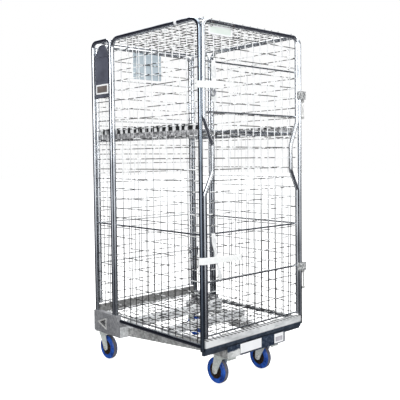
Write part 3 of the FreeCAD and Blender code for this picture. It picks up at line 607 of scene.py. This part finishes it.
GATE_FOOT, GATE_TOP, REAR_FOOT = 0.268, 1.670, 0.296
wire_panel(
    "front_gate_mesh", "front_gate", lambda u, v, d: Vector((u, -POST_Y + d, v)),
    [-0.293 + 0.051 * i for i in range(12)], steps(GATE_FOOT + 0.05, GATE_TOP - 0.042, 0.05),
    (-0.3205, 0.3205), (GATE_FOOT + 0.007, GATE_TOP), NEAR, FAR, True,
)
wire_panel(
    "rear_gate_mesh", "rear_gate", lambda u, v, d: Vector((u, POST_Y - d, v)),
    [-0.286 + 0.052 * i for i in range(12)], steps(REAR_FOOT + 0.05, GATE_TOP - 0.042, 0.05),
    (-0.3295, 0.3295), (REAR_FOOT + 0.007, GATE_TOP), NEAR, FAR,
)
for name, z, half_x, y0, y1, across, along in (
    ("roof", TOP, 0.317, -0.396, 0.378, 13, 15),
    ("shelf", 1.190, 0.314, -0.372, 0.366, 12, 15),
    ("deck", 0.250, 0.318, -0.384, 0.374, 13, 15),
):
    wire_panel(
        name + "_mesh", name, lambda u, v, d, z=z: Vector((u, v, z + d)),
        [0.05 * (i - 0.5 * (across - 1)) for i in range(across)],
        [(y0 + y1) / 2 + 0.05 * (i - 0.5 * (along - 1)) for i in range(along)],
        (-half_x, half_x), (y0, y1), 0.005 + WIRE_R, 0.005 + WIRE_R * 0.6, False, [tray_wire, tray_wire],
    )

# ------------------------------------------------------------------ wheels
CASTERS = (
    ("front_left", -0.150, -0.338, 1), ("front_right", 0.150, -0.338, 1),
    ("rear_left", -0.313, 0.395, -1), ("rear_right", 0.313, 0.395, -1),
)
X_AXIS, Z_AXIS = (1, 0, 0), (0, 0, 1)
WALL = [
    (0.0385, 0.0164), (0.0400, 0.0172), (0.0470, 0.0168), (0.0485, 0.0156),
    (0.0520, 0.0156), (0.0540, 0.0164), (0.0575, 0.0154),
]
CROWN = [
    (0.0600, 0.0126), (0.0617, 0.0096), (0.0617, 0.0072),
    (0.0606, 0.0066), (0.0606, 0.0056), (0.0621, 0.0050),
]
for name, x, y, way in CASTERS:
    centre = Vector((x, y + 0.030 * way, 0.0625))
    half = [(a, r) for r, a in WALL + CROWN] + [(0.0, 0.0624)]
    ring = half + [(-a, r) for a, r in reversed(half[:-1])]
    paint = [0] * (len(WALL) + 1) + [1] * (2 * len(CROWN) - 2) + [0] * (len(WALL) + 2)
    tyre = Shape()
    tyre.lathe(ring, centre, X_AXIS, 72, paint)
    for k in range(36):
        t = 2 * math.pi * k / 36
        radial, tangent = Vector((0, math.cos(t), math.sin(t))), Vector((0, -math.sin(t), math.cos(t)))
        for end in (-1, 1):
            at = centre + radial * 0.0500 + Vector((end * 0.0155, 0, 0))
            corners = ((-0.0012, -0.0010), (0.0012, -0.0010), (0.0012, 0.0010), (-0.0012, 0.0010))
            block = [at + radial * p + tangent * q for p, q in corners]
            tyre.prism(block, 0.0, 0.0008, Vector((end, 0, 0)))
    tyre.piece("tread_" + name, [blue_side, grey_tread], "wheel_" + name, ["tyre_" + name])
    hub = Shape()
    half = [(0.0180, 0.0062), (0.0180, 0.0125), (0.0172, 0.0150), (0.0100, 0.0170), (0.0085, 0.0195),
            (0.0085, 0.0350), (0.0110, 0.0370), (0.0150, 0.0384), (0.0150, 0.0400)]
    hub.lathe(half + [(-a, r) for a, r in reversed(half)], centre, X_AXIS, 48)
    for k in range(10):
        t = 2 * math.pi * k / 10
        radial, tangent = Vector((0, math.cos(t), math.sin(t))), Vector((0, -math.sin(t), math.cos(t)))
        for end in (-1, 1):
            rib = [(0.0165, 0.0172), (0.0375, 0.0152), (0.0375, 0.0080), (0.0165, 0.0080)]
            corners = [centre + radial * r + Vector((end * a, 0, 0)) for r, a in rib]
            hub.prism(corners, -0.0011, 0.0011, tangent)
    hub.piece("core_" + name, hub_black, "wheel_" + name, ["hub_" + name])
    race = Shape()
    race.lathe(
        [(-0.0045, 0.0268), (-0.0045, 0.0278), (-0.0010, 0.0282), (-0.0004, 0.0272), (0.0004, 0.0272),
         (0.0010, 0.0282), (0.0040, 0.0276), (0.0040, 0.0268)],
        Vector((x, y, 0.1420)), Z_AXIS, 40,
    )
    race.piece("race_" + name, zinc_fork, "caster_" + name)

bolts = Shape()
for name, x, y, way in CASTERS:
    near, far = ((-0.035, 0.035) if way > 0 else (-0.045, 0.026))
    for dx in (-0.036, 0.036):
        for dy in (near, far):
            hexagon(bolts, Vector((x + dx, y + dy, 0.149)), (0, 0, -1), 0.0064, 0.0, 0.0055)
bolts.piece("caster_nuts", zinc_small, "chassis", ["caster_bolts"])
bolts = Shape()
for side in (-1, 1):
    for z in (0.203, 0.221):
        hexagon(bolts, Vector((side * 0.368, 0.302, z)), (side, 0, 0), 0.0049, 0.0, 0.007)
bolts.piece("bracket_nuts", zinc_small, "chassis", ["bracket_bolts"])


# ------------------------------------------------------------------ webbing straps
def ribbon(shape, stations, paint=0):
    """A strap with soft edges through (centre, half width, half thickness) stations."""
    section = ((1, 0.3), (0.94, 1), (-0.94, 1), (-1, 0.3), (-1, -0.3), (-0.94, -1), (0.94, -1), (1, -0.3))
    shape.loops([[c + w * a + t * b for a, b in section] for c, w, t in stations], paint)


def smooth(keys, count):
    """Points through the keys on a soft curve; every key is a tuple of numbers."""
    out = []
    for i in range(len(keys) - 1):
        p = [Vector(keys[max(0, min(len(keys) - 1, i + k))]) for k in (-1, 0, 1, 2)]
        for j in range(count):
            t = j / count
            out.append(
                0.5 * (2 * p[1] + (p[2] - p[0]) * t + (2 * p[0] - 5 * p[1] + 4 * p[2] - p[3]) * t * t
                       + (3 * p[1] - p[0] - 3 * p[2] + p[3]) * t ** 3)
            )
    return out + [Vector(keys[-1])]


THICK = 0.0011


def band(shape, post_z, end_x, end_z, half):
    """The taut strap: round the left front post, then across the front of the gate."""
    turn_r = TUBE_R + 0.0015
    plan = []
    for degrees in range(120, 271, 10):
        a = math.radians(degrees)
        plan.append((-FRONT_X + turn_r * math.cos(a), -POST_Y + turn_r * math.sin(a)))
    start = plan[-1]
    for i in range(1, 15):
        bow = 0.0010 * math.sin(math.pi * i / 14)
        plan.append((start[0] + (end_x - start[0]) * i / 14, start[1] - bow))
    stations = []
    for i, (px, py) in enumerate(plan):
        qx, qy = plan[min(i + 1, len(plan) - 1)]
        rx, ry = plan[max(i - 1, 0)]
        along = Vector((qx - rx, qy - ry, 0.0)).normalized()
        run = max(0.0, (px + FRONT_X) / (end_x + FRONT_X))
        sag = 0.0012 * noise.noise(Vector((px * 40.0, py * 40.0, post_z)))
        centre = Vector((px, py, post_z + (end_z - post_z) * run + sag))
        half_width = Vector((0, 0, half[0] + (half[1] - half[0]) * run))
        stations.append((centre, half_width, Vector((along.y, -along.x, 0)) * THICK))
    ribbon(shape, stations)
    # the folded and stitched end
    last, w, t = stations[-1]
    fold = [(last + Vector((dx, -2 * THICK, 0)), w * 0.96, t) for dx in (-0.026, -0.018, -0.009, -0.001)]
    ribbon(shape, fold)


def hook(shape, start, reach, rise):
    """A bent wire hook from the strap's end round a rod or wire."""
    tip = start + reach
    keys = [start, start + reach * 0.45, tip, tip + rise, start + reach * 0.5 + rise * 1.25]
    shape.sweep([Vector(p) for p in smooth([tuple(k) for k in keys], 5)], 0.0016, 8, 1)


def tail(shape, keys, half):
    """A loose strap down the gate: keys are (x, y, z, twist in degrees)."""
    stations = []
    points = smooth(keys, 10)
    for i, p in enumerate(points):
        before, after = points[max(i - 1, 0)], points[min(i + 1, len(points) - 1)]
        along = Vector((after - before)[:3]).normalized()
        flat = Vector((0, -1, 0)).cross(along).normalized()
        width = Matrix.Rotation(math.radians(p[3]), 3, along) @ flat
        stations.append((Vector(p[:3]), width * half, width.cross(along) * THICK))
    ribbon(shape, stations, 2)


for label, post_z, end_x, end_z, half, keys in (
    ("strap_upper", 1.389, -0.209, 1.396, (0.0150, 0.0165), [
        (-0.268, -0.4200, 1.4990, 0.0), (-0.268, -0.4215, 1.4900, 10.0), (-0.266, -0.4195, 1.4600, 35.0),
        (-0.264, -0.4190, 1.4250, 20.0), (-0.266, -0.4195, 1.3900, 60.0), (-0.273, -0.4190, 1.3640, 120.0),
        (-0.268, -0.4185, 1.3400, 200.0), (-0.262, -0.4190, 1.3200, 160.0), (-0.254, -0.4190, 1.3000, 170.0),
        (-0.248, -0.4195, 1.2800, 180.0),
    ]),
    ("strap_lower", 0.6165, -0.103, 0.6085, (0.0155, 0.0140), [
        (-0.277, -0.4200, 0.7340, 0.0), (-0.277, -0.4215, 0.7250, 8.0), (-0.272, -0.4195, 0.6900, 20.0),
        (-0.264, -0.4190, 0.6550, -15.0), (-0.258, -0.4190, 0.6200, 10.0), (-0.250, -0.4190, 0.5850, -25.0),
        (-0.240, -0.4195, 0.5500, 15.0), (-0.233, -0.4195, 0.5220, 0.0),
    ]),
):
    strap = Shape()
    band(strap, post_z, end_x, end_z, half)
    tail(strap, keys, 0.0105)
    hook(strap, Vector((end_x - 0.003, -0.4236, end_z)), Vector((0.021, 0.006, 0)), Vector((0, 0.016, 0)))
    foot = Vector(keys[-1][:3])
    hook(strap, foot + Vector((0, 0, 0.004)), Vector((0.002, 0.003, -0.014)), Vector((0, 0.014, 0.002)))
    paints = [web_white, shaded_steel, web_shade]
    strap.piece(label + "_webbing", paints, "front_gate", [label])

# A knot in the upper strap, coloured grey with painted shade.
knot = Shape()
for i, (lean, radius) in enumerate(((0.0, 0.0075), (70.0, 0.0062), (-60.0, 0.0058))):
    loop = []
    for k in range(25):
        t = 2 * math.pi * k / 24
        p = Vector((0.0125 * math.cos(t), 0.0035 * math.sin(2 * t), 0.0150 * math.sin(t)))
        loop.append(Vector((-0.272, -0.4205, 1.3580)) + Matrix.Rotation(math.radians(lean), 3, "Y") @ p)
    knot.sweep(loop, radius * 0.42, 8)
knot.piece("strap_upper_knot", web_painted_shade, "front_gate")


# ------------------------------------------------------------------ plates, labels and pocket
def flat_outline(x0, x1, z0, z1, y, radius):
    return [Vector((px, y, pz)) for px, pz in rounded(x0, x1, z0, z1, radius)]


INWARD = Vector((0, 1, 0))


def tie(shape, x, z, y0, y1, radius):
    """A cable tie: a thin loop from the board round the tube or wire, with its cut end."""
    mid, reach = (y0 + y1) / 2, abs(y1 - y0) / 2
    loop = [Vector((x, mid + reach * math.cos(t), z + radius * math.sin(t)))
            for t in (2 * math.pi * k / 16 for k in range(17))]
    shape.sweep(loop, 0.0011, 6, 1)
    shape.sweep([Vector((x, mid, z + radius)), Vector((x + 0.0015, mid, z + radius + 0.008))], 0.0009, 6, 1)


plate = Shape()
plate.prism(flat_outline(-0.280, -0.128, 1.617, 1.659, -0.404, 0.004), 0.0, 0.002, INWARD, edge=0.0005)
plate.prism(flat_outline(-0.268, -0.140, 1.624, 1.652, -0.4044, 0.002), 0.0, 0.0005, INWARD, 2)
for x in (-0.268, -0.139):
    tie(plate, x, 1.663, -0.424, -0.400, 0.0135)
plate.piece("sign_plate", [white_label, hub_black, sign_tint], "front_gate", ["gate_sign"])
plate = Shape()
plate.prism(flat_outline(-0.098, 0.101, 1.513, 1.659, 0.402, 0.007), 0.0, 0.002, INWARD, edge=0.0006)
for x in (-0.084, 0.087):
    tie(plate, x, 1.663, 0.399, 0.424, 0.0135)
plate.piece("rear_board", [pale_board, hub_black], "rear_gate", ["rear_gate_board"])

boss = Shape()
for side in (-1, 1):
    across, face = Vector((side, 0, 0)), side * 0.3782
    rim = [Vector((face, py, pz)) for py, pz in ((0.3620, 0.212), (0.2900, 0.2390), (0.2900, 0.1850))]
    boss.sweep(rim + rim[:1], 0.0046, 8)
    corners = ((0.3520, 0.212), (0.2970, 0.2305), (0.2970, 0.1935))
    floor_of_boss = [Vector((side * 0.3682, py, pz)) for py, pz in corners]
    boss.prism(floor_of_boss, 0.0, 0.0006, across, 1)
boss.piece("bracket_boss_rims", [zinc_small, shaded_steel], "chassis")

labels = Shape()
for x0, x1, z0, z1 in ((-0.119, 0.026, 0.160, 0.205), (0.120, 0.188, 0.157, 0.203)):
    border = flat_outline(x0 - 0.001, x1 + 0.001, z0 - 0.001, z1 + 0.001, -0.4286, 0.003)
    labels.prism(border, 0.0, 0.0006, INWARD, 1)
    labels.prism(flat_outline(x0, x1, z0, z1, -0.4290, 0.0025), 0.0, 0.0006, INWARD)
labels.prism(flat_outline(0.128, 0.180, 0.165, 0.187, -0.4292, 0.0015), 0.0, 0.0003, INWARD, 2)
labels.piece("nose_labels", [white_label, hub_black, label_grey], "chassis")

wing = WINGS["left"]
inward = wing(0, 0, 1) - wing(0, 0, 0)
HOUSE = [(0.033, 1.388), (0.160, 1.388), (0.160, 1.612), (0.112, 1.662), (0.076, 1.662), (0.033, 1.606)]
pocket = Shape()
pocket.prism([wing(u, v, 0) for u, v in HOUSE], 0.0034, 0.010, inward, edge=0.0012)
lip = [(u + (0.0965 - u) * 0.05, v + (1.52 - v) * 0.03) for u, v in HOUSE]
pocket.sweep([wing(u, v, 0.0036) for u, v in lip + lip[:1]], 0.0022, 8)
pocket.sweep([wing(0.040, 1.600, 0.0034), wing(0.150, 1.600, 0.0034)], 0.0016, 8)
pocket.sweep([wing(0.040, 1.480, 0.0034), wing(0.150, 1.480, 0.0034)], 0.0010, 8)
pocket.piece("pocket_shell", slate, "chassis", ["document_pocket"])
window = Shape()
rim = [(u, v) for u, v in rounded(0.042, 0.151, 1.408, 1.458, 0.004)]
window.prism([wing(u, v, 0) for u, v in rim], 0.0012, 0.0034, inward, edge=0.0004)
card = rounded(0.052, 0.141, 1.416, 1.450, 0.002)
window.prism([wing(u, v, 0) for u, v in card], 0.0007, 0.0014, inward, 1)
window.piece("pocket_card", [white_label, window_card], "chassis", ["pocket_window"])

clip = Shape()
CLIP_AT = Vector((-0.3427, -0.262, TOP))
clip.lathe([(-0.007, 0.0102), (-0.007, 0.0122), (0.007, 0.0122), (0.007, 0.0102)], CLIP_AT, (0, 1, 0), 32)
head = [CLIP_AT + Vector((dx, dy, 0)) for dx, dy in rounded(-0.006, 0.006, -0.006, 0.006, 0.002)]
clip.prism(head, 0.0115, 0.0165, Vector((0, 0, 1)), edge=0.001)
clip.piece("rail_clip", white_label, "chassis")

# ------------------------------------------------------------------ stage
floor_mesh = bpy.data.meshes.new("floor")
floor_mesh.from_pydata([(-30, -30, 0), (30, -30, 0), (30, 30, 0), (-30, 30, 0)], [], [(0, 1, 2, 3)])
floor = bpy.data.objects.new("floor", floor_mesh)
scene.collection.objects.link(floor)
fg = Graph("floor_white")
pale = fg.ramp(fg.noise(0.4), [(0.3, (0.80, 0.80, 0.80)), (0.7, (0.84, 0.84, 0.84))])
fg.set(Base_Color=pale, Roughness=0.9, Specular_IOR_Level=0.0)
fg.set(Emission_Color=(1.0, 1.0, 1.0, 1.0), Emission_Strength=0.72)
floor_mesh.materials.append(fg.mat)
floor.visible_glossy = False
floor.visible_diffuse = False

world = bpy.data.worlds.new("studio")
world.use_nodes = True
tree = world.node_tree
tree.nodes.clear()


def world_node(kind, *links, **settings):
    node = tree.nodes.new(kind)
    for key, value in settings.items():
        setattr(node, key, value)
    for socket, value in zip(node.inputs, links):
        if isinstance(value, bpy.types.NodeSocket):
            tree.links.new(value, socket)
        elif value is not None:
            socket.default_value = value
    return node


def calc(kind, *values):
    return world_node("ShaderNodeMath", *values, operation=kind).outputs[0]


def fade(value, start, end, low, high):
    node = world_node("ShaderNodeMapRange", value, start, end, low, high, interpolation_type="SMOOTHSTEP")
    return node.outputs[0]


# What the metal reflects: a room that is bright towards the main camera's side and
# opposite it, and dark to both other sides, with a soft ceiling and a dim ground. It is
# fixed to the room. Diffuse rays see an even grey, and the camera sees plain white.
way_in = world_node("ShaderNodeTexCoord").outputs["Generated"]
x, y, z = world_node("ShaderNodeSeparateXYZ", way_in).outputs
BRIGHT_X, BRIGHT_Y = -0.668, -0.744
facing = calc("ADD", calc("MULTIPLY", x, BRIGHT_X), calc("MULTIPLY", y, BRIGHT_Y))
flat = calc("ADD", calc("ADD", calc("MULTIPLY", x, x), calc("MULTIPLY", y, y)), 0.0001)
ends = fade(calc("DIVIDE", calc("MULTIPLY", facing, facing), flat), 0.42, 0.80, 0.02, 1.35)
ceiling = fade(z, 0.55, 0.85, 0.0, 1.0)
ground = fade(z, -0.32, -0.04, 0.0, 1.0)
level = calc("MULTIPLY", ends, ground)
level = calc("ADD", calc("MULTIPLY", level, calc("SUBTRACT", 1.0, ceiling)), calc("MULTIPLY", ceiling, 0.85))
level = calc("ADD", level, calc("MULTIPLY", calc("SUBTRACT", 1.0, ground), 0.10))
cool = [calc("MULTIPLY", level, 0.97), calc("MULTIPLY", level, 0.985), calc("ADD", level, 0.015)]
tint = world_node("ShaderNodeCombineXYZ", *cool)
room = world_node("ShaderNodeBackground", tint.outputs[0], 1.0)
plain = world_node("ShaderNodeBackground", (1.0, 1.0, 1.0, 1.0), 1.0)
soft = world_node("ShaderNodeBackground", (0.97, 0.985, 1.0, 1.0), 0.68)
path = world_node("ShaderNodeLightPath").outputs
choice = world_node("ShaderNodeMixShader", path["Is Diffuse Ray"], room.outputs[0], soft.outputs[0])
choice = world_node("ShaderNodeMixShader", path["Is Camera Ray"], choice.outputs[0], plain.outputs[0])
world_node("ShaderNodeOutputWorld", choice.outputs[0])
scene.world = world


def softbox(name, at, target, width, height, power):
    light = bpy.data.lights.new(name, "AREA")
    light.shape = "RECTANGLE"
    light.size, light.size_y, light.energy = width, height, power
    obj = bpy.data.objects.new(name, light)
    aim = (Vector(at) - Vector(target)).to_track_quat("Z", "Y").to_matrix().to_4x4()
    obj.matrix_world = Matrix.Translation(at) @ aim
    scene.collection.objects.link(obj)


softbox("key", (-3.2, -2.6, 2.6), (0, 0, 0.9), 1.2, 2.6, 80)
softbox("fill", (1.8, -3.8, 2.2), (0, 0, 0.8), 1.2, 2.4, 40)
softbox("top", (0.0, 0.2, 4.2), (0, 0, 0.5), 4.0, 4.0, 160)
scene.view_settings.view_transform = "Standard"
